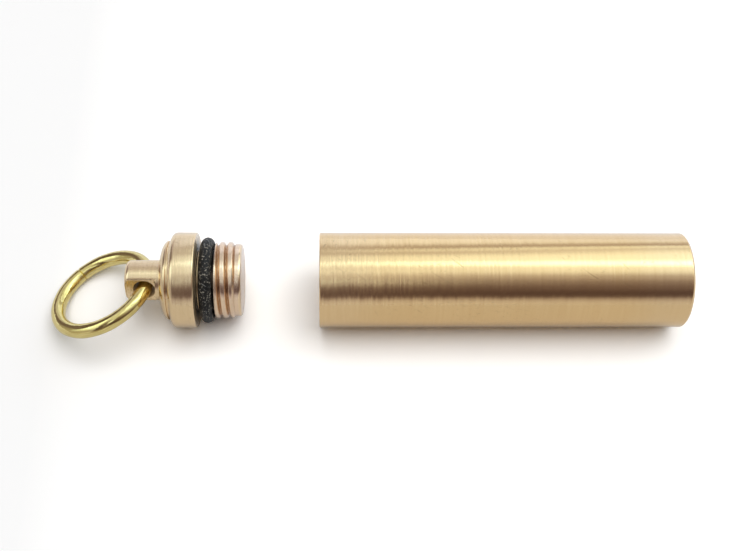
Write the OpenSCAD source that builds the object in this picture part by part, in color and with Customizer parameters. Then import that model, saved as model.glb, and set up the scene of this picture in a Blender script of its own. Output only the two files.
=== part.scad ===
// Screw-top pocket bottle on a key ring: a turned brass tube, a turned brass cap
// with a threaded plug and an eyelet, a rubber O-ring and a round wire ring.
// Everything lies on its side with the cap unscrewed and set down in line with the tube.
// +X runs along the tube and out of its closed end, +Z is up, and the origin is the
// centre of the closed end's flat face. Lengths are in millimetres.

/* [Tube] */
// Outside diameter of the tube and of the cap's collar
tube_d = 13; // [12.8:0.1:15]
// Length of the tube
tube_l = 50; // [30:1:80]
// Wall left outside the threaded stretch of the bore
mouth_wall = 1.25; // [1:0.05:1.6]
// Step down from the threaded stretch to the plain bore
bore_step = 0.7; // [0.5:0.05:1.2]
// Thickness of the closed end, up to the end of the full bore
base_t = 5; // [4:0.25:8]
// Chamfer round the closed end
base_break = 0.3; // [0.1:0.05:0.6]
// Flat rim left round the mouth, outside the countersink
rim_land = 0.25; // [0.2:0.05:0.4]
// Chamfer on the outer edge of the mouth
rim_break = 0.1; // [0.05:0.05:0.15]
// Depth of the threaded stretch, from the mouth
thread_depth = 8; // [6.5:0.25:10]
// Included angle of the countersink that nips the O-ring
mouth_angle = 60; // [50:5:90]

/* [Thread] */
// Pitch of the thread
thread_pitch = 1.1; // [1:0.01:1.5]
// Length of the plug, from the collar's face to its tip
plug_l = 6.1; // [5.5:0.1:7.5]
// Length of the plain pilot at the plug's tip
pilot_l = 0.9; // [0.5:0.05:1.2]
// Depth that the pilot is cut below the crests
pilot_cut = 0.28; // [0.1:0.01:0.5]
// Chamfer at the plug's tip
plug_break = 0.2; // [0.1:0.05:0.4]
// Gap all round between the crests and the threaded bore
thread_fit = 0.05; // [0.02:0.01:0.1]

/* [Cap] */
// Length of the collar, the part gripped by the fingers
collar_l = 3.4; // [3:0.05:6]
// Radius of the collar's rounded back edge
collar_round = 0.8; // [0.3:0.05:0.8]
// Chamfer on the collar's front edge
collar_break = 0.12; // [0.05:0.01:0.3]
// Step in from the collar to the domed shoulder behind it
shoulder_in = 1.1; // [0.9:0.05:2]
// Length of the domed shoulder
shoulder_l = 1.5; // [1:0.05:3]
// Width of the groove between the shoulder and the collar
groove_w = 0.4; // [0.1:0.05:0.45]
// Depth of that groove
groove_h = 0.3; // [0.1:0.05:0.35]

/* [Eyelet] */
// Diameter of the post that the ring passes through
post_d = 5.45; // [5:0.05:6.5]
// Length of the post, from the shoulder to its free end
post_l = 4.7; // [4.2:0.05:6]
// Chamfer round the post's free end
post_break = 0.4; // [0.1:0.05:0.6]
// Width across the two milled flats
flat_w = 4.1; // [3.5:0.05:4.3]
// Length of the flats, from the free end
flat_l = 4.1; // [4.05:0.05:4.6]
// Diameter of the cross hole
eye_d = 2.9; // [2.9:0.05:3.05]
// Distance from the post's free end to the cross hole's centre
eye_in = 2.55; // [2.3:0.05:2.6]
// Tilt of the cross hole out of the level, its near end up, in degrees
eye_tilt = 21; // [17:1:21]

/* [O-ring] */
// Diameter of the rubber section
cord_d = 1.8; // [1.6:0.05:1.85]
// Depth that the O-ring's neck is cut below the crests
neck_cut = 1.12; // [0.9:0.01:1.4]
// Length of the neck
neck_l = 2.35; // [2.35:0.05:2.8]
// Gap between the collar's face and the O-ring
seal_set = 0.5; // [0.3:0.05:0.5]
// Gap all round between the neck and the O-ring
seal_fit = 0.02; // [0.01:0.01:0.05]

/* [Key ring] */
// Diameter of the ring's wire
wire_d = 2; // [1.6:0.05:2.05]
// Inside diameter of the ring
ring_in_d = 11.6; // [11.5:0.1:16]
// Tilt of the ring's wire in the hole out of the level, in degrees
ring_tilt = 17; // [17:1:21]
// Gap between the resting ring and the surface that it lies on
ring_lift = 0.02; // [0.01:0.01:0.1]

/* [Lie] */
// Gap between the collar and the mouth when the cap is screwed home on the O-ring
home_gap = 1.11; // [1.07:0.01:2]
// Whole turns from screwed home to where the cap lies
open_turns = 14; // [6:1:20]

/* [Hidden] */

// Rounds and the points along a quarter curve
round_fn = 96;
curve_steps = 12;
// Included angle of the drill's tip at the bottom of the bore
drill_angle = 118;
// Slope of the relief at the end of the threaded bore
relief_angle = 45;
// Slope of the neck's end, from square to the axis
neck_angle = 10;
// Overrun of every cut past the face that it opens
over = 1;

brass = [0.79, 0.68, 0.47];
pink_brass = [0.80, 0.65, 0.50];
wire_brass = [0.78, 0.68, 0.28];
black_rubber = [0.10, 0.10, 0.11];

tube_r = tube_d / 2;
mouth_r = tube_r - rim_land;
thread_bore_r = tube_r - mouth_wall;
thread_r = thread_bore_r - thread_fit;
bore_r = thread_bore_r - bore_step;
mouth_l = (mouth_r - thread_bore_r) / tan(mouth_angle / 2);
relief_l = bore_step / tan(relief_angle);
tip_l = bore_r / tan(drill_angle / 2);

// Places along the axis, from the open mouth out to the post's free end
mouth_x = -tube_l;
travel = open_turns * thread_pitch;
face_x = mouth_x - home_gap - travel;
tip_x = face_x + plug_l;
back_x = face_x - collar_l;
shoulder_x = back_x - shoulder_l;
post_x = shoulder_x - post_l;
eye_x = post_x + eye_in;

shoulder_r = tube_r - shoulder_in;
post_r = post_d / 2;
neck_r = thread_r - neck_cut;
runout_l = neck_cut * tan(neck_angle);
pilot_r = thread_r - pilot_cut;
seal_r = neck_r + seal_fit + cord_d / 2;
seal_x = face_x + seal_set + cord_d / 2;

// The ring hangs in the eyelet by half its sagitta over the width of the flats, so its
// wire keeps the same gap in the middle of the hole as at the hole's two mouths.
ring_r = (ring_in_d + wire_d) / 2;
ring_set = (ring_r - sqrt(pow(ring_r, 2) - pow(flat_w / 2, 2))) / 2;
ring_reach = ring_r - ring_set;

// The ring drops until its wire meets the surface that the tube lies on: its lowest
// point is ring_reach * drop below the hole's centre for the middle of the ring, and
// ring_r * sqrt(sin(ring_tilt)^2 + drop^2) below that for its rim.
ring_height = tube_r - wire_d / 2 - ring_lift;
quad_a = pow(ring_r, 2) - pow(ring_reach, 2);
quad_b = 2 * ring_height * ring_reach;
quad_c = pow(ring_r * sin(ring_tilt), 2) - pow(ring_height, 2);
drop = (sqrt(pow(quad_b, 2) - 4 * quad_a * quad_c) - quad_b) / (2 * quad_a);
ring_drop = asin(drop / cos(ring_tilt));

// Points [radius, place] of a quarter of an ellipse about a centre, from angle a0 to a1
function quarter(centre, half_r, half_l, a0, a1) =
    [for (i = [0:curve_steps])
        let (a = a0 + (a1 - a0) * i / curve_steps)
        [centre[0] + half_r * sin(a), centre[1] - half_l * cos(a)]];

// A solid of revolution about the X axis from [radius, place] points
module turned(profile) {
    rotate([0, 90, 0]) rotate_extrude($fn = round_fn) polygon(profile);
}

// A round section carried round the Z axis
module torus(middle_r, section_d) {
    rotate_extrude($fn = round_fn) translate([middle_r, 0]) circle(d = section_d, $fn = round_fn);
}

// Turns its children about the X axis, their near side up
module tilted(angle) {
    rotate([-angle, 0, 0]) children();
}

// The bottle: a solid end, a drilled bore, a wider threaded stretch and a countersunk mouth
module tube() {
    color(brass) turned([
        [0, 0],
        [tube_r - base_break, 0],
        [tube_r, -base_break],
        [tube_r, mouth_x + rim_break],
        [tube_r - rim_break, mouth_x],
        [mouth_r, mouth_x],
        [thread_bore_r, mouth_x + mouth_l],
        [thread_bore_r, mouth_x + thread_depth],
        [bore_r, mouth_x + thread_depth + relief_l],
        [bore_r, -base_t],
        [0, tip_l - base_t],
    ]);
}

// Outline of the cap from the post's free end to the plug's tip
function cap_profile() = concat(
    [
        [0, post_x],
        [post_r - post_break, post_x],
        [post_r, post_x + post_break],
    ],
    quarter([post_r, back_x - groove_w], shoulder_r - post_r, shoulder_l - groove_w, 0, 90),
    [
        [shoulder_r - groove_h, back_x - groove_w],
        [shoulder_r - groove_h, back_x],
    ],
    quarter([tube_r - collar_round, back_x + collar_round], collar_round, collar_round, 0, 90),
    [
        [tube_r, face_x - collar_break],
        [tube_r - collar_break, face_x],
        [neck_r, face_x],
        [neck_r, face_x + neck_l],
        [thread_r, face_x + neck_l + runout_l],
        [thread_r, tip_x - pilot_l - pilot_cut],
        [pilot_r, tip_x - pilot_l],
        [pilot_r, tip_x - plug_break],
        [pilot_r - plug_break, tip_x],
        [0, tip_x],
    ]
);

// The two slabs milled off the post, square to the cross hole
module flats() {
    for (side = [0, 1]) mirror([0, side, 0])
        translate([post_x - over, flat_w / 2, -post_r - over])
            cube([flat_l + over, post_r + over, post_d + 2 * over]);
}

// The drilled hole for the ring
module cross_hole() {
    translate([eye_x, 0, 0]) rotate([90, 0, 0])
        cylinder(d = eye_d, h = post_d + 2 * over, center = true, $fn = round_fn);
}

// The cap: one turned piece, from the eyelet's post to the threaded plug
module cap() {
    color(pink_brass) difference() {
        turned(cap_profile());
        tilted(eye_tilt) flats();
        tilted(eye_tilt) cross_hole();
    }
}

// The O-ring on the neck between the collar and the thread
module o_ring() {
    color(black_rubber) translate([seal_x, 0, 0]) rotate([0, 90, 0]) torus(seal_r, cord_d);
}

// The wire ring through the eyelet, with its far side down on the surface
module key_ring() {
    color(wire_brass) translate([eye_x, 0, 0]) tilted(ring_tilt) rotate([0, -ring_drop, 0])
        translate([-ring_reach, 0, 0]) torus(ring_r, wire_d);
}

tube();
cap();
o_ring();
key_ring();
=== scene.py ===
# %% [markdown]
# # A screw-top brass bottle on a key ring
# The object is a small turned brass bottle. Its cap, a black O-ring and a wire ring make
# one group at the left, and the empty tube lies at the right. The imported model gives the
# frame: every length and place below is the CAD's, and Blender adds the thread, the
# broken edges, the finishes and the studio.

# %% The frame
import math
import bpy
import numpy as np
from mathutils import Matrix, Vector


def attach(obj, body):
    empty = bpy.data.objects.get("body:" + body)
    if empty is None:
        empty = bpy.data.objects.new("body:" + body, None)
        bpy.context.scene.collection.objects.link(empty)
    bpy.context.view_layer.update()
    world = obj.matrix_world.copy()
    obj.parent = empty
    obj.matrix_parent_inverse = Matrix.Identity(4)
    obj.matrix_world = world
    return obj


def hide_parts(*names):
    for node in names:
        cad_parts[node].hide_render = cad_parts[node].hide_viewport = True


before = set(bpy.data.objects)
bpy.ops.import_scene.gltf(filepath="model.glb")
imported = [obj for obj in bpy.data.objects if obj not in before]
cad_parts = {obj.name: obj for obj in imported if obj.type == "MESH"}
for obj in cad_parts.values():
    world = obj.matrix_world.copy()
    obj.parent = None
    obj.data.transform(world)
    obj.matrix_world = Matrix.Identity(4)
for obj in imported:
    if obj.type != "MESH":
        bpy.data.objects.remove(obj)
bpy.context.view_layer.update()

# %% [markdown]
# ## The camera
# The photograph was taken from the front and high up, 60 degrees above the table and 15 cm
# away, close enough that the perspective shows. The image's upright lies 2 degrees off
# the table's Y axis, which shows in how the tube's two long edges run together. The
# object's middle lies a little off the middle of the frame, so the camera itself is moved
# by that much, with no lens shift.

# %% The camera at the photograph's angle
VIEW_ELEVATION, VIEW_YAW = math.radians(60), math.radians(2.25)
VIEW_DISTANCE = 0.150
VIEW_CENTRE = np.array([-0.04375, 0.0, 0.0])
FOCAL_PX, IMAGE_WIDTH_PX, SENSOR_MM = 1094.6, 734, 36.0
UP_PX, RIGHT_PX = 4.6, 1.9
level_look = np.array([0, math.cos(VIEW_ELEVATION), -math.sin(VIEW_ELEVATION)])
image_up = np.array([0, math.sin(VIEW_ELEVATION), math.cos(VIEW_ELEVATION)])
look = math.cos(VIEW_YAW) * level_look + math.sin(VIEW_YAW) * np.array([1.0, 0, 0])
image_right = np.cross(look, image_up)

camera_data = bpy.data.cameras.new("camera")
camera_data.sensor_fit = "HORIZONTAL"
camera_data.sensor_width = SENSOR_MM
camera_data.lens = SENSOR_MM * FOCAL_PX / IMAGE_WIDTH_PX
camera_data.clip_start = 0.002
camera_data.clip_end = 20.0
camera = bpy.data.objects.new("camera", camera_data)
bpy.context.scene.collection.objects.link(camera)
aside = (UP_PX * image_up + RIGHT_PX * image_right) * VIEW_DISTANCE / FOCAL_PX
spot = VIEW_CENTRE - VIEW_DISTANCE * look + aside
placing = np.eye(4)
placing[:3, :3], placing[:3, 3] = np.stack([image_right, image_up, -look], 1), spot
camera.matrix_world = Matrix(placing.tolist())
bpy.context.scene.camera = camera
print("camera at", [round(1000 * v, 2) for v in camera.location], "mm")

# %% [markdown]
# ## The sizes
# These are the turner's numbers, in millimetres, the same as in the CAD source. Places
# along the axis run from the ring's far side (most negative) to the bottle's base at 0.

# %% Sizes in millimetres
TUBE_R, TUBE_L = 6.5, 50.0
BASE_BREAK, RIM_LAND, RIM_BREAK = 0.3, 0.25, 0.1
THREAD_BORE_R, BORE_R, THREAD_DEPTH, BASE_T = 5.25, 4.55, 8.0, 5.0
MOUTH_ANGLE, DRILL_ANGLE = math.radians(60), math.radians(118)

FACE_X, TIP_X, BACK_X, SHOULDER_X, POST_X = -66.51, -60.41, -69.91, -71.41, -76.11
NECK_R, NECK_L, PLUG_R, NECK_ANGLE = 4.08, 2.35, 5.2, math.radians(10)
PILOT_R, PILOT_L, PLUG_BREAK = 4.92, 0.9, 0.2
SHOULDER_R, POST_R, GROOVE_W, GROOVE_H = 5.4, 2.725, 0.4, 0.3
COLLAR_ROUND, COLLAR_BREAK, POST_BREAK = 0.8, 0.12, 0.4
FLAT_W, FLAT_L, EYE_X, EYE_R, EYE_TILT = 4.1, 4.1, -73.56, 1.45, math.radians(21)
SEAL_X, SEAL_R, CORD_R = -65.14, 4.97, 0.87
RING_R, WIRE_R, RING_TILT = 6.8, 1.0, math.radians(17)

PITCH = 1.1
# A profile starts and ends this far from the axis, where a pole closes it.
POLE_R = 0.02
print("turns of thread on the plug:", round((TIP_X - PILOT_L - FACE_X - NECK_L) / PITCH, 1))

# %% [markdown]
# ## Surfaces from profiles
# A lathe makes every brass part here, so each one is a profile carried round the X axis.
# The profile is a list of corners. Real corners are never perfectly sharp, and the thin
# bright line on a broken edge is much of what makes turned brass look real, so each
# corner is replaced by a short curve before the profile is turned.

# %% A profile with broken corners
def broken(corners, steps=4):
    """Points along a profile whose corners are eased. Each corner is (x, r, ease). It is
    replaced by the quadratic curve (1-t)^2 A + 2t(1-t) B + t^2 C, where B is the corner
    and A and C lie `ease` from it along its two sides. Returns the points and how near
    each is to the middle of its eased corner, from 0 to 1."""
    spots = np.array([c[:2] for c in corners], float)
    points, edge = [spots[:1]], [np.zeros(1)]
    eases = [c[2] for c in corners[1:-1]]
    for before, here, after, ease in zip(spots[:-2], spots[1:-1], spots[2:], eases):
        if ease == 0:
            points.append(here[None]); edge.append(np.zeros(1)); continue
        a = here + (before - here) * min(ease / np.linalg.norm(before - here), 0.49)
        c = here + (after - here) * min(ease / np.linalg.norm(after - here), 0.49)
        t = np.linspace(0, 1, steps + 1)[:, None]
        points.append((1 - t) ** 2 * a + 2 * t * (1 - t) * here + t ** 2 * c)
        edge.append(np.sin(np.pi * t[:, 0]))
    points.append(spots[-1:]); edge.append(np.zeros(1))
    return np.concatenate(points), np.concatenate(edge)


def quarter(centre_x, centre_r, half_x, half_r, steps=14):
    """Corners along a quarter of an ellipse that bulges towards -X and outwards: x is the
    centre less half_x cos a, and r is the centre plus half_r sin a, for a from 0 to 90."""
    a = np.linspace(0, math.pi / 2, steps + 1)
    return [(x, r, 0.0) for x, r in zip(centre_x - half_x * np.cos(a), centre_r + half_r * np.sin(a))]


print("a broken corner has", len(broken([(0, 0, 0), (0, 1, 0.1), (1, 1, 0)])[0]) - 2, "points")

# %% [markdown]
# ## From a grid of points to a mesh
# A turned surface is a grid: one row per point of the profile and one column per angle.
# Rows close on themselves, and a row at the axis shrinks to a single pole, so the solid
# is watertight. The distance along the profile goes into an attribute, because the
# tool's marks follow it on walls, cones and faces alike.

# %% Grid to mesh
AROUND = 240


def skin(name, rows, run, edge, pole_start=True, pole_end=True, loop=False, extra=None):
    """A mesh over rows of points. rows is an array (row, column, xyz) in millimetres, and
    each row closes on itself. A pole is the mean of its end row, joined by a fan. loop
    joins the last row to the first. run and edge are one number a row, kept as attributes."""
    m, n, _ = rows.shape
    i = np.arange(m if loop else m - 1)[:, None]
    j = np.arange(n)[None, :]
    nexti, nextj = (i + 1) % m, (j + 1) % n
    quads = np.stack(np.broadcast_arrays(i * n + j, i * n + nextj, nexti * n + nextj, nexti * n + j), -1)
    quads = quads.reshape(-1, 4)
    verts, faces = rows.reshape(-1, 3), quads.tolist()
    run_v, edge_v = np.repeat(run, n), np.repeat(edge, n)
    for wanted, row, flip in ((pole_start, 0, True), (pole_end, m - 1, False)):
        if wanted and not loop:
            pole = len(verts)
            verts = np.vstack([verts, rows[row].mean(0)])
            run_v, edge_v = np.append(run_v, run[row]), np.append(edge_v, edge[row])
            a, b = row * n + np.arange(n), row * n + (np.arange(n) + 1) % n
            fan = np.stack([b, a, np.full(n, pole)] if flip else [a, b, np.full(n, pole)], -1)
            faces += fan.tolist()
    mesh = bpy.data.meshes.new(name)
    mesh.from_pydata(verts.tolist(), [], faces)
    for label, values in {"run": run_v, "edge": edge_v, **(extra or {})}.items():
        values = np.asarray(values, np.float32)
        if len(values) < len(verts):
            values = np.append(values, np.zeros(len(verts) - len(values), np.float32))
        mesh.attributes.new(label, "FLOAT", "POINT").data.foreach_set("value", values)
    if volume(mesh) < 0:
        mesh.flip_normals()
    return mesh


def volume(mesh):
    """The enclosed volume in the mesh's own units: a sixth of the sum of a . (b x c) over
    its triangles, which is positive when the faces point outwards."""
    mesh.calc_loop_triangles()
    co = np.empty(len(mesh.vertices) * 3); mesh.vertices.foreach_get("co", co)
    tri = np.empty(len(mesh.loop_triangles) * 3, int); mesh.loop_triangles.foreach_get("vertices", tri)
    a, b, c = co.reshape(-1, 3)[tri.reshape(-1, 3)].transpose(1, 0, 2)
    return float((a * np.cross(b, c)).sum() / 6)


print("columns round a turned piece:", AROUND)


# %% Turning a profile
def angles(n=AROUND):
    return np.linspace(0, 2 * math.pi, n, endpoint=False)


def turned(x, r, n=AROUND):
    """Rows round the X axis: (x, r cos a, r sin a). r has one value a row, or one a point."""
    a = angles(n)
    r = np.broadcast_to(np.reshape(r, (len(x), -1)), (len(x), n))
    return np.stack([np.broadcast_to(np.reshape(x, (-1, 1)), r.shape), r * np.cos(a), r * np.sin(a)], -1)


def along(points):
    """The distance along a profile, in metres, from its first point."""
    return np.concatenate([[0], np.cumsum(np.hypot(*np.diff(points, axis=0).T))]) / 1000


# %% [markdown]
# ## The thread
# The thread is right-handed. A point at angle a lies on a crest when its place along the
# axis, less the pitch times a over a full turn, is a whole number of pitches from the
# first crest. The tube's groove is the same form a little wider, at the same phase, so
# the two halves mesh at every turn of the cap.

# %% Thread form
CREST_AT = -63.23
FLANK = math.tan(math.radians(30))
HALF_CREST, ROOT_DEPTH, ROOM = 0.26, 0.42, 0.05


def thread_phase(x, a):
    """Distance along the axis from the nearest crest, in millimetres, at most half a pitch."""
    u = (x - CREST_AT) / PITCH - a / (2 * math.pi)
    return np.abs(u - np.round(u)) * PITCH


def eased_clip(value, low, high, ease):
    """value held between low and high, with its two bends eased: the mean of the clipped
    value at five offsets within `ease`."""
    return sum(np.clip(value + k * ease, low, high) for k in (-1, -0.5, 0, 0.5, 1)) / 5


def plug_thread(x, a):
    """Radius of the plug's thread: a flat crest 0.52 mm wide, 60-degree flanks and a
    narrow root 0.42 mm below it."""
    slope = PLUG_R - (thread_phase(x, a) - HALF_CREST) / FLANK
    return eased_clip(slope, PLUG_R - ROOT_DEPTH, PLUG_R, 0.07)


def bore_thread(x, a):
    """Radius of the tube's thread: the plug's form with 0.05 mm of room on every side, cut
    off at 4.98 mm so that the plug's pilot passes."""
    slope = PLUG_R - (thread_phase(x, a) - HALF_CREST - ROOM) / FLANK
    return eased_clip(slope, PILOT_R + 0.06, THREAD_BORE_R, 0.03)


probe = angles(36)
gap = min(float((bore_thread(x, probe) - plug_thread(x, probe)).min()) for x in np.linspace(-65, -63, 60))
print("least room between the two threads, radially:", round(gap, 3), "mm")

# %% [markdown]
# ## The tube
# The tube is one closed skin: out over the base, along the wall, round the rim, down the
# countersink, along the thread and the bore to the drill's cone. Where the countersink
# and the thread meet, the surface is simply the larger of the two radii, because each
# tool only takes metal away.

# %% The tube's rows
mouth_x = -TUBE_L
outside, outside_edge = broken([
    (0, POLE_R, 0), (0, TUBE_R - BASE_BREAK, 0.05), (-BASE_BREAK, TUBE_R, 0.08),
    (mouth_x + RIM_BREAK, TUBE_R, 0.05), (mouth_x, TUBE_R - RIM_BREAK, 0.03), (mouth_x, TUBE_R - RIM_LAND, 0.04),
    (mouth_x + 0.12, TUBE_R - RIM_LAND - 0.12 * math.tan(MOUTH_ANGLE / 2), 0),
])
thread_x = np.arange(mouth_x + 0.17, mouth_x + THREAD_DEPTH + 0.75, 0.05)
inside, inside_edge = broken([
    (mouth_x + THREAD_DEPTH + 0.85, BORE_R, 0), (-BASE_T, BORE_R, 0.1),
    (BORE_R / math.tan(DRILL_ANGLE / 2) - BASE_T, POLE_R, 0),
])
cone_r = TUBE_R - RIM_LAND - (thread_x - mouth_x) * math.tan(MOUTH_ANGLE / 2)
fade = np.clip((mouth_x + THREAD_DEPTH + 0.7 - thread_x) / 0.7, 0, 1)
thread_r = BORE_R + (bore_thread(thread_x[:, None], angles()) - BORE_R) * fade[:, None]
thread_r = np.maximum(np.maximum(thread_r, cone_r[:, None]), BORE_R)

tube_profile = np.concatenate([outside, np.stack([thread_x, np.maximum(cone_r, BORE_R + 0.3)], -1), inside])
tube_rows = np.concatenate([turned(*outside.T), turned(thread_x, thread_r), turned(*inside.T)])
tube_edge = np.concatenate([outside_edge, np.zeros(len(thread_x)), inside_edge])
tube_mesh = skin("tube_skin", tube_rows, along(tube_profile), tube_edge)
print("tube:", len(tube_mesh.polygons), "faces,", round(volume(tube_mesh)), "mm3")

# %% [markdown]
# ## The cap
# The cap is turned in one setting, from the eyelet's post to the threaded plug, so it is
# one skin too. Two flats are then milled on the post: on each, the radius is the flat's
# distance divided by the cosine of the angle from its middle, and a smooth minimum with
# the round radius leaves a slightly worn edge. The rows end in a step where the cutter
# stopped. On the plug, the radius is the smaller of the outline's and the thread's.

# %% The cap's profile
flats_end = POST_X + FLAT_L
groove_x = BACK_X - GROOVE_W
post_part, post_edge = broken([
    (POST_X, POLE_R, 0), (POST_X, POST_R - POST_BREAK, 0.2), (POST_X + POST_BREAK, POST_R, 0.25), (flats_end, POST_R, 0),
], steps=6)
dome = quarter(groove_x, POST_R, groove_x - SHOULDER_X, SHOULDER_R - POST_R)
shoulder_part, shoulder_edge = broken(
    [(flats_end + 0.02, POST_R, 0), (*dome[0][:2], 0.16)] + dome[2:-2] + [(*dome[-1][:2], 0.08)]
    + [(groove_x, SHOULDER_R - GROOVE_H, 0.04), (BACK_X, SHOULDER_R - GROOVE_H, 0.04)]
    + [(BACK_X, TUBE_R - COLLAR_ROUND - 0.02, 0)]
    + quarter(BACK_X + COLLAR_ROUND, TUBE_R - COLLAR_ROUND, COLLAR_ROUND, COLLAR_ROUND)[1:]
    + [(FACE_X - COLLAR_BREAK, TUBE_R, 0.06), (FACE_X, TUBE_R - COLLAR_BREAK, 0.05), (FACE_X, NECK_R, 0.08)]
    + [(FACE_X + step, NECK_R, 0) for step in (0.14, 0.20, 0.24, 0.34, 0.38, 0.44, NECK_L - 0.01)]
)
plug_x = np.concatenate([
    np.linspace(FACE_X + NECK_L, FACE_X + NECK_L + 0.26, 14)[:-1],
    np.arange(FACE_X + NECK_L + 0.26, TIP_X - PILOT_L + 0.3, 0.035)])
relief_r = NECK_R + (plug_x - FACE_X - NECK_L) / math.tan(NECK_ANGLE)
pilot_r = np.maximum(PLUG_R - (plug_x - TIP_X + PILOT_L + PLUG_R - PILOT_R), PILOT_R)
first_turn = PLUG_R - 0.06 * np.exp(-((plug_x - FACE_X - NECK_L - 0.2) / 0.1) ** 2)
outline_r = np.minimum(np.minimum(relief_r, pilot_r), first_turn)
run_out = np.clip((TIP_X - PILOT_L + 0.28 - plug_x) / 0.28, 0, 1)[:, None]
plug_r = np.minimum(outline_r[:, None], PLUG_R - (PLUG_R - plug_thread(plug_x[:, None], angles())) * run_out)
tip_part, tip_edge = broken([
    (plug_x[-1] + 0.02, PILOT_R, 0), (TIP_X - PLUG_BREAK, PILOT_R, 0.3), (TIP_X, PILOT_R - PLUG_BREAK, 0.3),
    (TIP_X, 2.0, 0), (TIP_X, POLE_R, 0)])
print("plug radius from", round(float(plug_r.min()), 2), "to", round(float(plug_r.max()), 2), "mm")


# %% The flats and the rows
def soft_min(a, b, k):
    """The smaller of two lengths with an eased crossing: -k ln(exp(-a/k) + exp(-b/k))."""
    low = np.minimum(a, b)
    return low - k * np.log(np.exp(-(a - low) / k) + np.exp(-(b - low) / k))


flat_side = np.abs(-math.cos(EYE_TILT) * np.cos(angles()) + math.sin(EYE_TILT) * np.sin(angles()))
flat_r = FLAT_W / 2 / np.maximum(flat_side, 0.05)
post_r = np.where(post_part[:, 1:] > 1.5, soft_min(post_part[:, 1:], flat_r[None, :], 0.04), post_part[:, 1:])
on_flat = np.clip((post_part[:, 1:] - post_r) / 0.06, 0, 1).ravel()

cap_profile = np.concatenate([post_part, shoulder_part, np.stack([plug_x, outline_r], -1), tip_part])
cap_rows = np.concatenate([
    turned(post_part[:, 0], post_r), turned(*shoulder_part.T), turned(plug_x, plug_r), turned(*tip_part.T)])
cap_edge = np.concatenate([post_edge, shoulder_edge, np.zeros(len(plug_x)), tip_edge])
cap_x, cap_r = cap_profile.T
on_plug = np.repeat(np.clip((cap_x - FACE_X - NECK_L + 0.3) / 0.3, 0, 1), AROUND)
# Painted shade on the neck and the face behind the O-ring, where the groove lies dark, less a stripe left bare where
# the neck's gleam shows.
in_neck = (cap_x > FACE_X - 0.01) & (cap_x < FACE_X + NECK_L + 0.3) & (cap_r < 6.2)
gleam_gap = 1 - 0.8 * ((np.abs(cap_x - FACE_X - 0.29) < 0.06) & (cap_r < NECK_R + 0.01))
painted_recess_shade = np.repeat(in_neck * gleam_gap * np.clip((5.1 - cap_r * (cap_x > FACE_X + 1)) / 0.3, 0, 1), AROUND)
milled = np.concatenate([on_flat, np.zeros(len(on_plug) - len(on_flat))])
plug_start = len(post_part) + len(shoulder_part)
# Painted shade in the plug's thread roots, darker where the cut is deeper, and none on the pilot.
root = np.zeros((len(cap_profile), AROUND))
deep_cut = np.clip((PLUG_R - 0.16 - plug_r) / 0.18, 0, 1)
root[plug_start:plug_start + len(plug_x)] = deep_cut * (plug_x < TIP_X - PILOT_L)[:, None]
marks_on_cap = {"plug": on_plug, "painted_recess_shade": painted_recess_shade, "milled": milled, "root": root.ravel()}
cap_mesh = skin("cap_skin", cap_rows, along(cap_profile), cap_edge, extra=marks_on_cap)
print("cap before drilling:", len(cap_mesh.polygons), "faces,", round(volume(cap_mesh)), "mm3")


# %% [markdown]
# ## The drilled eyelet
# The cross hole is drilled through the flats and its two mouths are eased. A lathed
# cutter with the same flare is taken away from the cap with a Boolean modifier, which is
# applied at once, so the finished piece is a plain mesh.

# %% Drilling the eyelet
def tilted_frame():
    """The hole's axis and two directions square to it: the Y axis turned about X by the tilt."""
    axis = np.array([0, -math.cos(EYE_TILT), math.sin(EYE_TILT)])
    return axis, np.array([1.0, 0, 0]), np.cross(axis, [1.0, 0, 0])


def eye_cutter():
    """A drill's skin round the hole's axis: the hole's radius, opening by 0.05 mm over the
    last 0.08 mm before it leaves the flats."""
    axis, side, up = tilted_frame()
    mouth = FLAT_W / 2
    s = np.array([-3.6, -mouth - 0.01, -mouth + 0.025, -mouth + 0.05, -mouth + 0.08, -mouth + 0.3])
    r = EYE_R + np.array([0.06, 0.05, 0.025, 0.008, 0.0, 0.0])
    s, r = np.concatenate([s, -s[::-1]]), np.concatenate([r, r[::-1]])
    a = angles(128)[None, :, None]
    rows = np.array([EYE_X, 0, 0]) + s[:, None, None] * axis + r[:, None, None] * (np.cos(a) * side + np.sin(a) * up)
    flare = (np.abs(s) > mouth - 0.06).astype(float)
    return skin("eye_cutter", rows, s / 1000, flare, extra={label: np.zeros(1) for label in marks_on_cap})


def placed(name, mesh):
    obj = bpy.data.objects.new(name, mesh)
    bpy.context.scene.collection.objects.link(obj)
    return obj


def cut_away(obj, cutter):
    """Takes the cutter away from obj and applies the result."""
    step = obj.modifiers.new("cut", "BOOLEAN")
    step.operation, step.object, step.solver = "DIFFERENCE", cutter, "EXACT"
    mesh = bpy.data.meshes.new_from_object(obj.evaluated_get(bpy.context.evaluated_depsgraph_get()))
    obj.modifiers.clear()
    obj.data = mesh
    bpy.data.objects.remove(cutter)


def shade_hole_wall(mesh):
    """Raises the painted shade to 1 on the hole's wall: the points within 0.02 mm of the hole's radius from its axis
    and deeper than 0.03 mm under the flats."""
    axis = tilted_frame()[0]
    co = np.empty(len(mesh.vertices) * 3); mesh.vertices.foreach_get("co", co)
    away = co.reshape(-1, 3) - np.array([EYE_X, 0, 0])
    s = away @ axis
    off = np.linalg.norm(away - s[:, None] * axis, axis=1)
    wall = (np.abs(off - EYE_R) < 0.02) & (np.abs(s) < FLAT_W / 2 - 0.03)
    painted_recess_shade = np.empty(len(mesh.vertices), np.float32)
    mesh.attributes["painted_recess_shade"].data.foreach_get("value", painted_recess_shade)
    mesh.attributes["painted_recess_shade"].data.foreach_set("value", np.maximum(painted_recess_shade, wall).astype(np.float32))
    return int(wall.sum())


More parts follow.
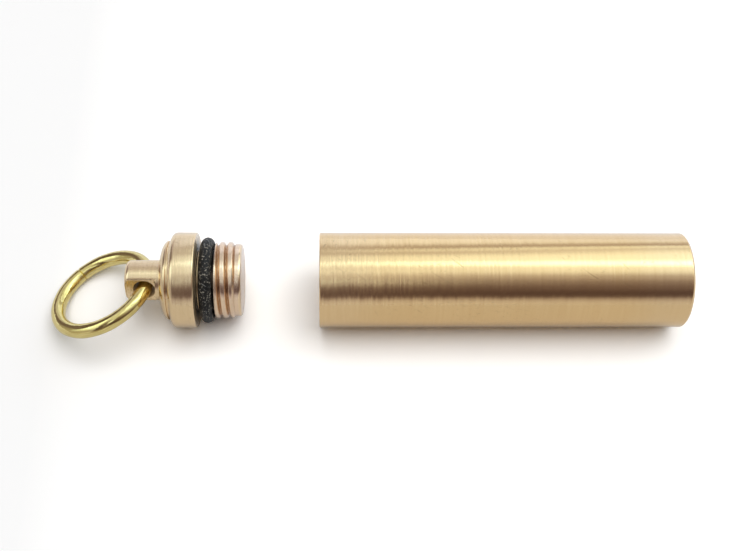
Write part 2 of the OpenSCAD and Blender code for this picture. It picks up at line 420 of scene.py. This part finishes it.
cap = placed("brass_cap", cap_mesh)
cut_away(cap, placed("eye_cutter", eye_cutter()))
print("points on the hole's wall:", shade_hole_wall(cap.data))
print("cap after drilling:", len(cap.data.polygons), "faces,", round(volume(cap.data)), "mm3")

# %% [markdown]
# ## The O-ring
# The rubber seal is a moulded cord. It is a torus whose section swells and shrinks by a
# few hundredths of a millimetre, with the faint parting line that the mould leaves round
# its outside.

# %% The O-ring's rows
SEAL_STEPS = 72


def o_ring_rows(n_section=SEAL_STEPS):
    """Point at section angle s and place a: (x, R(s, a) cos a, R(s, a) sin a), where the
    section's radius is the cord's less small waves in a and a raised line at s = 0."""
    s, a = np.linspace(0, 2 * math.pi, n_section, endpoint=False)[:, None], angles()[None, :]
    wave = 0.012 * (np.sin(5 * a + 1) + np.sin(13 * a + 2) * 0.5) - 0.02
    line = 0.03 * np.exp(-((np.angle(np.exp(1j * s))) / 0.07) ** 2)
    c = CORD_R + np.minimum(wave + line, 0)
    r = SEAL_R + c * np.cos(s)
    return np.stack([SEAL_X + c * np.sin(s) + 0 * a, r * np.cos(a), r * np.sin(a)], -1)


seal_run = np.linspace(0, 2 * math.pi * CORD_R, SEAL_STEPS) / 1000
seal = placed("rubber_o_ring", skin("o_ring_skin", o_ring_rows(), seal_run, np.zeros(SEAL_STEPS), loop=True))
print("O-ring:", len(seal.data.polygons), "faces,", round(volume(seal.data), 1), "mm3")


# %% [markdown]
# ## The key ring
# The ring is one length of drawn brass wire bent round until its ends butt together. Its
# skin is the wire's section carried round the ring's circle. Where the ends meet, both
# are slightly rounded and leave a fine notch. The wire's own coordinates go into an
# attribute, so that the drawing marks can run along it.

# %% The key ring's rows
def ring_frame():
    """The ring's centre, the direction from the eyelet to it, the hinge axis and the normal."""
    axis = np.array([0, -math.cos(RING_TILT), math.sin(RING_TILT)])
    away = np.array([-0.928726, -0.108402, -0.354567])
    away = away / np.linalg.norm(away)
    return np.array([-79.7284, -0.7200, -2.3550]), away, axis, np.cross(axis, away)


SEAM_AT = math.radians(232.5)


def key_ring_rows(n_ring=360, n_section=56):
    """Point at place p round the ring and section angle s: centre + (R + w cos s) e(p) +
    w sin s normal, where e(p) = -cos p away + sin p axis, and w is the wire's radius less
    shallow hand-bent flats and less the notch 0.12 exp(-(arc / 0.07 mm)^2) at the seam."""
    centre, away, axis, normal = ring_frame()
    p = SEAM_AT + np.linspace(0, 2 * math.pi, n_ring + 1)[:-1, None]
    s = np.linspace(0, 2 * math.pi, n_section, endpoint=False)[None, :]
    arc = RING_R * np.minimum(p - SEAM_AT, 2 * math.pi - (p - SEAM_AT))
    w = WIRE_R - 0.012 * (1 + np.sin(9 * p + 2 * s) * np.sin(4 * p)) - 0.12 * np.exp(-(arc / 0.07) ** 2)
    outward = -np.cos(p)[..., None] * away + np.sin(p)[..., None] * axis
    points = centre + (RING_R + w * np.cos(s))[..., None] * outward + (w * np.sin(s))[..., None] * normal
    wire = np.stack(np.broadcast_arrays(RING_R * (p - SEAM_AT), WIRE_R * np.cos(s), WIRE_R * np.sin(s)), -1) / 1000
    return points, wire.reshape(-1, 3)


ring_points, wire_place = key_ring_rows()
steps = len(ring_points)
ring_mesh = skin("key_ring_skin", ring_points, np.linspace(0, 1, steps), np.zeros(steps), loop=True)
wire_values = ring_mesh.attributes.new("wire", "FLOAT_VECTOR", "POINT").data
wire_values.foreach_set("vector", wire_place.astype(np.float32).ravel())
key_ring = placed("brass_key_ring", ring_mesh)
tube = placed("brass_tube", tube_mesh)
print("key ring:", len(ring_mesh.polygons), "faces,", round(volume(ring_mesh), 1), "mm3")


# %% Metres, smooth faces and sharp edges
def finished(obj, sharp_degrees=35):
    """Brings a millimetre mesh to metres, smooths its faces and keeps its true edges sharp."""
    obj.data.transform(Matrix.Scale(0.001, 4))
    obj.data.polygons.foreach_set("use_smooth", np.ones(len(obj.data.polygons), bool))
    obj.data.set_sharp_from_angle(angle=math.radians(sharp_degrees))
    obj.data.update()


for piece in (tube, cap, seal, key_ring):
    finished(piece)
    print(piece.name, "triangles:", sum(len(p.vertices) - 2 for p in piece.data.polygons))

# %% Bodies and nodes
PLACES = ((tube, "tube", "tube"), (cap, "cap", "cap"), (seal, "seal", "o_ring"), (key_ring, "ring", "key_ring"))
for piece, body, node_name in PLACES:
    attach(piece, body)
    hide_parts(node_name)
    print(piece.name, "rides on", body)


# %% [markdown]
# ## Node helpers
# Materials are built in code, so a few short helpers keep them readable: one adds a node
# and fills its sockets by name, another makes a group with named sockets.

# %% Node helpers
def feed(tree, socket, value):
    """Links an output to a socket, or sets the socket to a value."""
    if isinstance(value, bpy.types.NodeSocket):
        tree.links.new(value, socket)
    else:
        socket.default_value = value


def add(tree, kind, inputs=None, **settings):
    """A node of that kind. inputs maps a socket's name or number to a value or to another
    node's output, and settings are the node's own properties."""
    node = tree.nodes.new(kind)
    for key, value in settings.items():
        setattr(node, key, value)
    for key, value in (inputs or {}).items():
        feed(tree, node.inputs[key], value)
    return node


def group(name, inputs, outputs):
    """A shader node group. inputs and outputs are lists of (name, socket type[, value])."""
    tree = bpy.data.node_groups.new(name, "ShaderNodeTree")
    for label, kind, *value in inputs:
        socket = tree.interface.new_socket(label, in_out="INPUT", socket_type=kind)
        if value:
            socket.default_value = value[0]
    for label, kind in outputs:
        tree.interface.new_socket(label, in_out="OUTPUT", socket_type=kind)
    return tree, tree.nodes.new("NodeGroupInput").outputs, tree.nodes.new("NodeGroupOutput")


FLOAT, COLOUR = "NodeSocketFloat", "NodeSocketColor"


def maths(tree, operation, a, b=0.0, c=0.0, clamp=False):
    return add(tree, "ShaderNodeMath", {0: a, 1: b, 2: c}, operation=operation, use_clamp=clamp).outputs[0]


def blend_colour(tree, factor, a, b, mode="MIX"):
    node = add(tree, "ShaderNodeMix", {"Factor": factor}, data_type="RGBA", blend_type=mode)
    for socket, value in (("A_Color", a), ("B_Color", b)):
        feed(tree, next(s for s in node.inputs if s.identifier == socket), value)
    return next(s for s in node.outputs if s.identifier == "Result_Color")


def blend_value(tree, factor, a, b):
    """a where the factor is 0 and b where it is 1."""
    part_a = maths(tree, "MULTIPLY", a, maths(tree, "SUBTRACT", 1.0, factor))
    return maths(tree, "ADD", part_a, maths(tree, "MULTIPLY", factor, b))


def ranged(tree, value, low, high, out_low=0.0, out_high=1.0):
    """value taken from the range low to high to the range out_low to out_high, and held there."""
    limits = {"From Min": low, "From Max": high, "To Min": out_low, "To Max": out_high}
    return add(tree, "ShaderNodeMapRange", {"Value": value, **limits}).outputs["Result"]


def object_place(tree):
    """The Object coordinates."""
    return add(tree, "ShaderNodeTexCoord").outputs["Object"]


def mark(tree, label):
    """The value of a mesh attribute."""
    return add(tree, "ShaderNodeAttribute", attribute_name=label).outputs["Fac"]


def speckle(tree, vector, scale, detail):
    """A noise's value."""
    return add(tree, "ShaderNodeTexNoise", {"Vector": vector, "Scale": scale, "Detail": detail}).outputs["Fac"]


print("helpers ready")

# %% [markdown]
# ## Turning marks
# A lathe tool leaves fine rings on whatever it cuts. The rings vary quickly along the
# profile and hardly at all round the axis, so a noise is sampled at the distance along
# the profile times a high number, and at the object's own Y and Z times a low one. Two
# such noises, coarse and fine, make the streaks, and a slow one makes faint patches.

# %% Group: turning marks
marks, g_in, g_out = group(
    "turning_marks",
    [("Coarse per mm", FLOAT, 2.5), ("Fine per mm", FLOAT, 9.0), ("Wander", FLOAT, 0.15)],
    [("Streak", FLOAT), ("Height", FLOAT), ("Patch", FLOAT), ("Chatter", FLOAT)],
)
run = mark(marks, "run")
place = add(marks, "ShaderNodeSeparateXYZ", {0: object_place(marks)}).outputs


def ring_noise(tree, per_mm, detail):
    """Noise whose cells are thin along the profile and long round the axis."""
    across = maths(tree, "MULTIPLY", maths(tree, "MULTIPLY", run, 1000.0), per_mm)
    slow = maths(tree, "MULTIPLY", g_in["Wander"], 1000.0)
    y, z = [maths(tree, "MULTIPLY", place[k], slow) for k in (1, 2)]
    spot = add(tree, "ShaderNodeCombineXYZ", {0: across, 1: y, 2: z}).outputs[0]
    settings = {"Vector": spot, "Scale": 1.0, "Detail": detail, "Roughness": 0.6}
    return add(tree, "ShaderNodeTexNoise", settings).outputs["Fac"]


coarse, fine = ring_noise(marks, g_in["Coarse per mm"], 3.0), ring_noise(marks, g_in["Fine per mm"], 2.0)
streak = maths(marks, "ADD", maths(marks, "MULTIPLY", coarse, 0.55), maths(marks, "MULTIPLY", fine, 0.45))
patch = speckle(marks, object_place(marks), 220.0, 4.0)
marks.links.new(ranged(marks, streak, 0.32, 0.68), g_out.inputs["Streak"])
height = maths(marks, "ADD", maths(marks, "MULTIPLY", coarse, 1.4), maths(marks, "MULTIPLY", fine, 0.5))
marks.links.new(height, g_out.inputs["Height"])
marks.links.new(ranged(marks, patch, 0.35, 0.65), g_out.inputs["Patch"])
chatter = ring_noise(marks, 5.0, 1.0)
marks.links.new(ranged(marks, chatter, 0.30, 0.70, -1.0, 1.0), g_out.inputs["Chatter"])
print("group turning_marks:", len(marks.nodes), "nodes")

# %% [markdown]
# ## Handling marks
# A carried object picks up short hair scratches in all directions. Two thin noises,
# stretched in different directions, are cut at a high level so that only a few threads
# of each remain, and a second, slow noise decides where the handling was.

# %% Group: hair scratches
hairs, g_in, g_out = group("hair_scratches", [("Amount", FLOAT, 0.5), ("Scale", FLOAT, 1.0)], [("Mask", FLOAT)])
spot = object_place(hairs)
total = None
for turn, long_scale, thin_scale in ((0.5, 260.0, 6500.0), (1.9, 300.0, 7500.0), (2.7, 200.0, 6000.0)):
    turning = {"Vector": spot, "Rotation": (turn * 0.7, turn, turn * 1.3)}
    turned_spot = add(hairs, "ShaderNodeMapping", turning).outputs[0]
    stretching = {"Vector": turned_spot, "Scale": (long_scale, thin_scale, thin_scale * 0.2)}
    thin = add(hairs, "ShaderNodeMapping", stretching).outputs[0]
    line = ranged(hairs, speckle(hairs, thin, g_in["Scale"], 1.0), 0.70, 0.76)
    total = line if total is None else maths(hairs, "MAXIMUM", total, line)
where = ranged(hairs, speckle(hairs, spot, 160.0, 2.0), 0.45, 0.6)
mask = maths(hairs, "MULTIPLY", maths(hairs, "MULTIPLY", total, where), g_in["Amount"])
hairs.links.new(mask, g_out.inputs["Mask"])
print("group hair_scratches:", len(hairs.nodes), "nodes")

# %% [markdown]
# ## Milled flats
# An end mill leaves a rougher skin than a lathe tool: low ridges across its path, and small
# pits where the metal tore. A stretched noise makes the ridges and the low end of a round
# one makes the pits.

# %% Group: milled skin
mill, g_in, g_out = group(
    "milled_skin",
    [("Ridges per m", FLOAT, 5200.0), ("Pits per m", FLOAT, 3600.0)],
    [("Height", FLOAT), ("Pit", FLOAT)],
)
spot = object_place(mill)
stretched = add(mill, "ShaderNodeMapping", {"Vector": spot, "Scale": (1.0, 0.35, 0.35)}).outputs[0]
ridges = speckle(mill, stretched, g_in["Ridges per m"], 3.0)
pits = ranged(mill, speckle(mill, spot, g_in["Pits per m"], 2.0), 0.42, 0.32)
mill.links.new(maths(mill, "SUBTRACT", ridges, maths(mill, "MULTIPLY", pits, 0.4)), g_out.inputs["Height"])
mill.links.new(pits, g_out.inputs["Pit"])
print("group milled_skin:", len(mill.nodes), "nodes")

# %% [markdown]
# ## Worn edges
# Edges that the tool broke and hands have rubbed are smoother and paler than the walls.
# The profile already knows where its eased corners are, so the group only mixes.

# %% Group: worn edges
worn, g_in, g_out = group(
    "worn_edges",
    [("Color", COLOUR), ("Roughness", FLOAT, 0.3), ("Polished Color", COLOUR),
     ("Polished Roughness", FLOAT, 0.15), ("Amount", FLOAT, 0.8)],
    [("Color", COLOUR), ("Roughness", FLOAT)],
)
edge = mark(worn, "edge")
weight = maths(worn, "MULTIPLY", edge, g_in["Amount"], clamp=True)
worn.links.new(blend_colour(worn, weight, g_in["Color"], g_in["Polished Color"]), g_out.inputs["Color"])
worn_roughness = blend_value(worn, weight, g_in["Roughness"], g_in["Polished Roughness"])
worn.links.new(worn_roughness, g_out.inputs["Roughness"])
print("group worn_edges:", len(worn.nodes), "nodes")


# %% [markdown]
# ## Turned brass
# The tube and the cap share one recipe with their own numbers. The colour is a fresh
# yellow brass that the streaks darken a little, the roughness rises in the streaks, and
# the rings stand in the bump. The marks are plainest at the tube's mouth and finer
# towards its base, as in the photograph. A turned surface also spreads light across the
# tool's rings and hardly along them, so the shader is anisotropic: the Tangent node gives
# the way round the axis, and a quarter turn of it gives the way along the profile.

# %% Turned brass material
def placed_group(tree, group_tree, inputs):
    """A group node in a tree, with its sockets set to values or linked to outputs."""
    node = tree.nodes.new("ShaderNodeGroup")
    node.node_tree = group_tree
    for key, value in inputs.items():
        feed(tree, node.inputs[key], value)
    return node.outputs


def new_material(name):
    material = bpy.data.materials.new(name)
    material.use_nodes = True
    tree = material.node_tree
    tree.nodes.clear()
    output = tree.nodes.new("ShaderNodeOutputMaterial")
    shader = tree.nodes.new("ShaderNodeBsdfPrincipled")
    tree.links.new(shader.outputs[0], output.inputs["Surface"])
    return material, tree, shader


def tint(colour, factor):
    """A colour times a factor, at most 1, with its alpha."""
    return (*[min(1, factor * v) for v in colour], 1)


def turned_brass(name, pale, deep, roughness, coarse, fine, bump, scratches, chatter, plug=None):
    """Brass with turning marks. pale and deep are its colours between and in the marks,
    plug an optional colour for the threaded end. chatter is how far, in radians, single
    rings lean round the axis."""
    material, tree, shader = new_material(name)
    cut = placed_group(tree, marks, {"Coarse per mm": coarse, "Fine per mm": fine})
    scratch = placed_group(tree, hairs, {"Amount": scratches})["Mask"]
    colour = blend_colour(tree, cut["Streak"], (*pale, 1), (*deep, 1))
    if plug:
        on_plug = mark(tree, "plug")
        colour = blend_colour(tree, on_plug, colour, blend_colour(tree, cut["Streak"], (*plug, 1), tint(plug, 0.93)))
    colour = blend_colour(tree, maths(tree, "MULTIPLY", cut["Patch"], 0.08), colour, tint(deep, 0.7))
    colour = blend_colour(tree, scratch, colour, tint(deep, 0.5))
    streaked = ranged(tree, cut["Streak"], 0.0, 1.0, roughness * 0.85, roughness * 1.2)
    rough = maths(tree, "ADD", streaked, maths(tree, "MULTIPLY", scratch, 0.15))
    place_x = add(tree, "ShaderNodeSeparateXYZ", {0: object_place(tree)}).outputs[0]
    middle = maths(tree, "MULTIPLY", ranged(tree, place_x, -0.047, -0.040), ranged(tree, place_x, -0.004, -0.009))
    colour = blend_colour(tree, middle, colour, (1.0, 0.97, 0.90, 1), mode="MULTIPLY")
    # Painted shade: the thread's roots are darkened.
    root = mark(tree, "root")
    colour = blend_colour(tree, root, colour, (0.66, 0.59, 0.53, 1), mode="MULTIPLY")
    # Painted shade in the neck behind the O-ring and on the eyelet hole's wall: dark, dull, a little patchy and not a
    # metal.
    painted_shade = maths(tree, "MULTIPLY", mark(tree, "painted_recess_shade"), ranged(tree, cut["Patch"], 0.0, 0.3, 0.75, 1.0))
    colour = blend_colour(tree, painted_shade, colour, (0.014, 0.010, 0.008, 1))
    rough = blend_value(tree, painted_shade, rough, 0.45)
    tree.links.new(maths(tree, "SUBTRACT", 1.0, painted_shade), shader.inputs["Metallic"])
    milled = mark(tree, "milled")
    cutter = placed_group(tree, mill, {})
    colour = blend_colour(tree, maths(tree, "MULTIPLY", milled, cutter["Pit"]), colour, (0.16, 0.12, 0.03, 1))
    rough = blend_value(tree, milled, rough, 0.30)
    polish = {"Polished Color": tint(pale, 1.08), "Polished Roughness": roughness * 0.6}
    edges = placed_group(tree, worn, {"Color": colour, "Roughness": rough, **polish})
    plain = ranged(tree, place_x, -0.050, -0.012, 1.0, 0.3)
    height = maths(tree, "MULTIPLY", cut["Height"], plain)
    height = maths(tree, "SUBTRACT", height, maths(tree, "MULTIPLY", scratch, 0.5))
    height = blend_value(tree, milled, height, maths(tree, "MULTIPLY", cutter["Height"], 3.0))
    around = add(tree, "ShaderNodeTangent", direction_type="RADIAL", axis="X").outputs[0]
    lean = maths(tree, "MULTIPLY", maths(tree, "MULTIPLY", cut["Chatter"], plain), chatter)
    leans = add(tree, "ShaderNodeCombineXYZ", {0: lean, 1: lean, 2: lean}).outputs[0]
    normal = add(tree, "ShaderNodeNewGeometry").outputs["Normal"]
    leaned = add(tree, "ShaderNodeVectorMath", {0: around, 1: leans, 2: normal}, operation="MULTIPLY_ADD").outputs[0]
    leaned = add(tree, "ShaderNodeVectorMath", {0: leaned}, operation="NORMALIZE").outputs[0]
    lift = add(tree, "ShaderNodeBump", {"Strength": bump, "Distance": 0.00003, "Height": height, "Normal": leaned})
    tree.links.new(edges["Color"], shader.inputs["Base Color"])
    tree.links.new(edges["Roughness"], shader.inputs["Roughness"])
    tree.links.new(lift.outputs[0], shader.inputs["Normal"])
    tree.links.new(around, shader.inputs["Tangent"])
    shader.inputs["Anisotropic"].default_value = 0.85
    shader.inputs["Anisotropic Rotation"].default_value = 0.25
    shader.inputs["Specular IOR Level"].default_value = 0.15
    return material


tube_brass = turned_brass(
    "satin_brass_tube", pale=(0.84, 0.59, 0.31), deep=(0.79, 0.535, 0.265), roughness=0.18,
    coarse=2.5, fine=9.0, bump=0.5, scratches=0.35, chatter=0.028)
cap_brass = turned_brass(
    "satin_brass_cap", pale=(0.83, 0.61, 0.35), deep=(0.77, 0.55, 0.30), roughness=0.21,
    coarse=3.0, fine=10.0, bump=0.5, scratches=0.3, chatter=0.018, plug=(0.88, 0.64, 0.43))
tube.data.materials.append(tube_brass)
cap.data.materials.clear()
cap.data.materials.append(cap_brass)
print("materials:", tube_brass.name, cap_brass.name)

# %% [markdown]
# ## Drawn wire
# Wire is pulled through a die, which polishes it and leaves long fine lines. The noise is
# sampled in the wire's own coordinates, slow along it and quick round its section. The
# alloy is yellower than the turned parts, and the bending left it slightly uneven.

# %% Drawn brass wire material
material, tree, shader = new_material("drawn_brass_wire")
wire_vector = add(tree, "ShaderNodeAttribute", attribute_name="wire").outputs["Vector"]
wire = add(tree, "ShaderNodeSeparateXYZ", {0: wire_vector}).outputs


def wire_noise(along_scale, round_scale, detail=2.0):
    """Noise in the wire's own coordinates: one scale along it and one round its section."""
    scaled = {k: maths(tree, "MULTIPLY", wire[k], along_scale if k == 0 else round_scale) for k in range(3)}
    return speckle(tree, add(tree, "ShaderNodeCombineXYZ", scaled).outputs[0], 1.0, detail)


lines, dents = wire_noise(700.0, 9000.0), wire_noise(900.0, 1100.0)
line_mask = ranged(tree, lines, 0.35, 0.68)
wire_colour = blend_colour(tree, line_mask, (0.83, 0.67, 0.27, 1), (0.66, 0.50, 0.16, 1))
scratch = placed_group(tree, hairs, {"Amount": 0.6})["Mask"]
wire_colour = blend_colour(tree, scratch, wire_colour, (0.4, 0.3, 0.08, 1))
tree.links.new(wire_colour, shader.inputs["Base Color"])
tree.links.new(ranged(tree, line_mask, 0, 1, 0.06, 0.14), shader.inputs["Roughness"])
bumps = maths(tree, "ADD", maths(tree, "MULTIPLY", lines, 0.25), maths(tree, "MULTIPLY", dents, 1.6))
relief = add(tree, "ShaderNodeBump", {"Strength": 0.35, "Distance": 0.00006, "Height": bumps})
tree.links.new(relief.outputs[0], shader.inputs["Normal"])
shader.inputs["Metallic"].default_value = 1.0
key_ring.data.materials.append(material)
print("material:", material.name)

# %% [markdown]
# ## Rubber
# The O-ring is black nitrile rubber: nearly black, matte, with a faint bloom that shows
# as pale specks where dust and talc have caught in the surface.

# %% Rubber material
material, tree, shader = new_material("black_rubber")
spot = object_place(tree)
grain, bloom = speckle(tree, spot, 4200.0, 3.0), speckle(tree, spot, 700.0, 3.0)
lint = placed_group(tree, hairs, {"Amount": 1.0, "Scale": 0.7})["Mask"]
specks = maths(tree, "MULTIPLY", ranged(tree, grain, 0.57, 0.63), ranged(tree, bloom, 0.36, 0.48))
dark = blend_colour(tree, ranged(tree, bloom, 0.3, 0.7), (0.006, 0.005, 0.004, 1), (0.014, 0.012, 0.010, 1))
dark = blend_colour(tree, specks, dark, (0.30, 0.27, 0.22, 1))
dark = blend_colour(tree, maths(tree, "MULTIPLY", lint, 0.5), dark, (0.30, 0.29, 0.27, 1))
tree.links.new(dark, shader.inputs["Base Color"])
tree.links.new(ranged(tree, grain, 0.3, 0.7, 0.45, 0.65), shader.inputs["Roughness"])
relief = add(tree, "ShaderNodeBump", {"Strength": 1.0, "Distance": 0.00009, "Height": grain})
tree.links.new(relief.outputs[0], shader.inputs["Normal"])
shader.inputs["Specular IOR Level"].default_value = 0.22
seal.data.materials.append(material)
print("material:", material.name)

# %% [markdown]
# ## The table
# The object lies on plain white board. Its colour is a true pale grey-white for light
# that bounces, and the camera sees it as white, as the photograph's exposure does, with
# the object's shadow kept because the colour only scales the light that arrives. The
# Painted light: the colour that the camera sees falls off a little towards the ring, where the light is weaker, and
# reflections see the board brighter and bluer towards the back, where the light comes from.
# These tones, and the one that reflections see, were set by comparing renders with it.

# %% The floor
FLOOR_Z, FLOOR_HALF = -0.0065, 1.5
corners = FLOOR_HALF * np.array([[-1, -1], [1, -1], [1, 1], [-1, 1]])
floor_mesh = bpy.data.meshes.new("floor")
floor_mesh.from_pydata([(x, y, FLOOR_Z) for x, y in corners], [], [(0, 1, 2, 3)])
floor = placed("floor", floor_mesh)
material = bpy.data.materials.new("white_board")
material.use_nodes = True
tree = material.node_tree
tree.nodes.clear()
rays = add(tree, "ShaderNodeLightPath").outputs
across, depth = add(tree, "ShaderNodeSeparateXYZ", {0: object_place(tree)}).outputs[:2]
# Painted light: reflections see the board grey in front and brighter and bluer behind, where the light comes from.
mirrored = blend_colour(tree, ranged(tree, depth, -0.01, 0.03), (0.69, 0.70, 0.72, 1), (0.98, 1.06, 1.22, 1))
board = blend_colour(tree, rays["Is Glossy Ray"], (0.74, 0.74, 0.74, 1), mirrored)
# Painted light: the board that the camera sees is darker at the ring and beyond, where the light falls off.
seen = blend_colour(tree, ranged(tree, across, -0.088, -0.068), (0.985, 0.97, 0.96, 1), (1.22, 1.19, 1.16, 1))
board = blend_colour(tree, rays["Is Camera Ray"], board, seen)
matte = add(tree, "ShaderNodeBsdfDiffuse", {"Color": board})
tree.links.new(matte.outputs[0], add(tree, "ShaderNodeOutputMaterial").inputs["Surface"])
floor_mesh.materials.append(material)
print("floor at z =", 1000 * FLOOR_Z, "mm")

# %% [markdown]
# ## The studio
# Brass shows its surroundings, so the light is laid out as a tunnel round the object's
# long axis: bright cloth overhead and behind, a brighter strip just behind the top, and
# a dark room above the photographer's side. The world gives that tunnel to reflections,
# a softer ramp to diffuse light, and plain white to the camera.

# %% The world as a light tunnel
# Brightness at each angle up from the camera's side, for the parts of the tunnel that the
# ring's far side, its near side, the cap, the tube's mouth and the tube's base show. The
# levels were fitted to the photograph: they come from how bright its brass reads along a
# few columns, rounded and then adjusted by comparing renders with it.
ANGLES = [
    0, 10, 15, 20, 25, 30, 35, 40, 45, 50, 55, 60, 65, 70, 80, 85,
    90, 95, 99, 103, 107, 112, 118, 124, 128, 133, 137, 141, 148, 155, 162, 180]
BY_RING = [
    .74, .68, .62, .58, .56, .56, .56, .58, .62, .70, .80, .95, 1.1, 1.3, 1.5, 1.55,
    1.6, 1.6, 1.6, 1.6, 1.55, 1.45, 1.20, .80, .50, .28, .18, .12, .09, .10, .14, .20]
BY_EYE = [
    .55, .50, .40, .20, .15, .14, .13, .13, .14, .17, .20, .25, .30, .42, .66, .75,
    .82, .88, .90, .90, .88, .85, .80, .78, .76, .74, .73, .70, .68, .66, .66, .66]
BY_CAP = [
    .67, .46, .29, .19, .20, .23, .27, .36, .58, .92, 1.25, 1.28, 1.10, 1.0, 1.06, .88,
    .84, .88, .90, .87, .82, .79, .73, .64, .58, .58, .55, .42, .64, .90, .86, .86]
BY_MOUTH = [
    .78, .68, .42, .16, .10, .10, .12, .125, .145, .21, .27, .33, .50, .67, 1.12, 1.15,
    1.20, 1.55, 1.95, 1.9, 1.30, 1.30, 1.22, .78, .58, 1.05, 1.25, .45, .52, 1.0, 1.2, 1.2]
BY_BASE = [
    .70, .54, .34, .13, .11, .11, .145, .19, .21, .26, .30, .39, .52, .56, 1.05, 1.20,
    1.22, 1.45, 2.15, 2.2, 1.40, 1.40, 1.32, 1.05, .80, 1.15, 1.15, .48, .66, 1.02, 1.02, 1.0]
SOFT_ANGLES = [0, 45, 58, 66, 74, 82, 90, 98, 108, 125, 180]
SOFT_LEVELS = [0, .02, .10, .30, .40, .45, .50, .50, .50, .45, .35]
PEAK = 4.0


def light_colour(level):
    """Bright cloth is a little blue and the dark room is warm: green is 1.13 L^1.2 and blue
    1.25 L^1.2 where red is L."""
    return (level / PEAK, 1.13 * level ** 1.2 / PEAK, 1.25 * level ** 1.2 / PEAK, 1)


def neutral(level):
    """A grey of that level, for light without a cast."""
    return (level / PEAK, level / PEAK, level / PEAK, 1)


def tunnel_ramp(tree, fac, levels, places=ANGLES, colour_of=light_colour):
    """A colour ramp over 0 to 180 degrees with one stop a place. Blender allows 32."""
    ramp = add(tree, "ShaderNodeValToRGB", {"Fac": fac})
    stops = ramp.color_ramp.elements
    while len(stops) > 1:
        stops.remove(stops[-1])
    for k, (degrees, level) in enumerate(zip(places, levels)):
        stop = stops[0] if k == 0 else stops.new(degrees / 180)
        stop.position, stop.color = degrees / 180, colour_of(level)
    return ramp.outputs["Color"]


world = bpy.data.worlds.new("studio")
bpy.context.scene.world = world
world.use_nodes = True
tree = world.node_tree
tree.nodes.clear()
way = add(tree, "ShaderNodeSeparateXYZ", {0: add(tree, "ShaderNodeTexCoord").outputs["Generated"]}).outputs
angle = maths(tree, "ARCTAN2", way[2], maths(tree, "MULTIPLY", way[1], -1.0))
turn = maths(tree, "DIVIDE", angle, math.pi)
# The dark edges behind the top aren't parallel to the tube: they rise by 45 degrees for
# each unit of the direction's X part.
slant = maths(tree, "MULTIPLY", maths(tree, "SUBTRACT", way[0], 0.02), 45 / 180)
slant = maths(tree, "MULTIPLY", slant, ranged(tree, turn, 100 / 180, 140 / 180))
turn = maths(tree, "SUBTRACT", turn, slant, clamp=True)
by_ring, by_eye, by_cap, by_mouth, by_base = [
    tunnel_ramp(tree, turn, levels) for levels in (BY_RING, BY_EYE, BY_CAP, BY_MOUTH, BY_BASE)]
# Each part takes over between two values of the direction's X part.
tunnel = by_ring
for low, high, part in ((-0.58, -0.46, by_eye), (-0.28, -0.15, by_cap), (-0.13, 0.02, by_mouth), (0.02, 0.30, by_base)):
    tunnel = blend_colour(tree, ranged(tree, way[0], low, high), tunnel, part)
tunnel = blend_colour(tree, ranged(tree, turn, 150 / 180, 158 / 180), tunnel, (1.0, 1.0, 1.12, 1), mode="MULTIPLY")
ends = ranged(tree, maths(tree, "ABSOLUTE", way[0]), 0.80, 0.98)
tunnel = blend_colour(tree, ends, tunnel, neutral(0.5))
# What matte surfaces receive is the same light without the narrow strips: soft, neutral
# and mostly from above, so that the shadow is dark where the brass meets the board.
half_turn = maths(tree, "DIVIDE", angle, math.pi, clamp=True)
soft = tunnel_ramp(tree, half_turn, SOFT_LEVELS, SOFT_ANGLES, neutral)
rays = add(tree, "ShaderNodeLightPath").outputs
tunnel = blend_colour(tree, rays["Is Diffuse Ray"], tunnel, soft)
studio = add(tree, "ShaderNodeBackground", {"Color": tunnel, "Strength": PEAK})
plain = add(tree, "ShaderNodeBackground", {"Color": (1, 1, 1, 1), "Strength": 1.0})
both = add(tree, "ShaderNodeMixShader", {0: rays["Is Camera Ray"], 1: studio.outputs[0], 2: plain.outputs[0]})
tree.links.new(both.outputs[0], add(tree, "ShaderNodeOutputWorld").inputs["Surface"])
print("tunnel stops:", len(ANGLES), "in each of five ramps")

# %% The lamp overhead
lamp_data = bpy.data.lights.new("overhead", "AREA")
lamp_data.shape = "RECTANGLE"
LAMP_SIZE, LAMP_WATTS = 5.0, 200.0
lamp_data.size, lamp_data.size_y = LAMP_SIZE, LAMP_SIZE
lamp_data.energy = LAMP_WATTS
lamp = bpy.data.objects.new("overhead", lamp_data)
lamp.visible_glossy = False
bpy.context.scene.collection.objects.link(lamp)
LAMP_TILT, LAMP_FAR = math.radians(10), 5.0
lamp_way = np.array([math.sin(LAMP_TILT), 0.0, math.cos(LAMP_TILT)])
lamp.location = VIEW_CENTRE + LAMP_FAR * lamp_way
lamp.rotation_euler = Vector(lamp_way).to_track_quat("Z", "Y").to_euler()
print("lamp at", [round(v, 3) for v in lamp.location], "m")

# %% View settings
bpy.context.scene.view_settings.view_transform = "Standard"
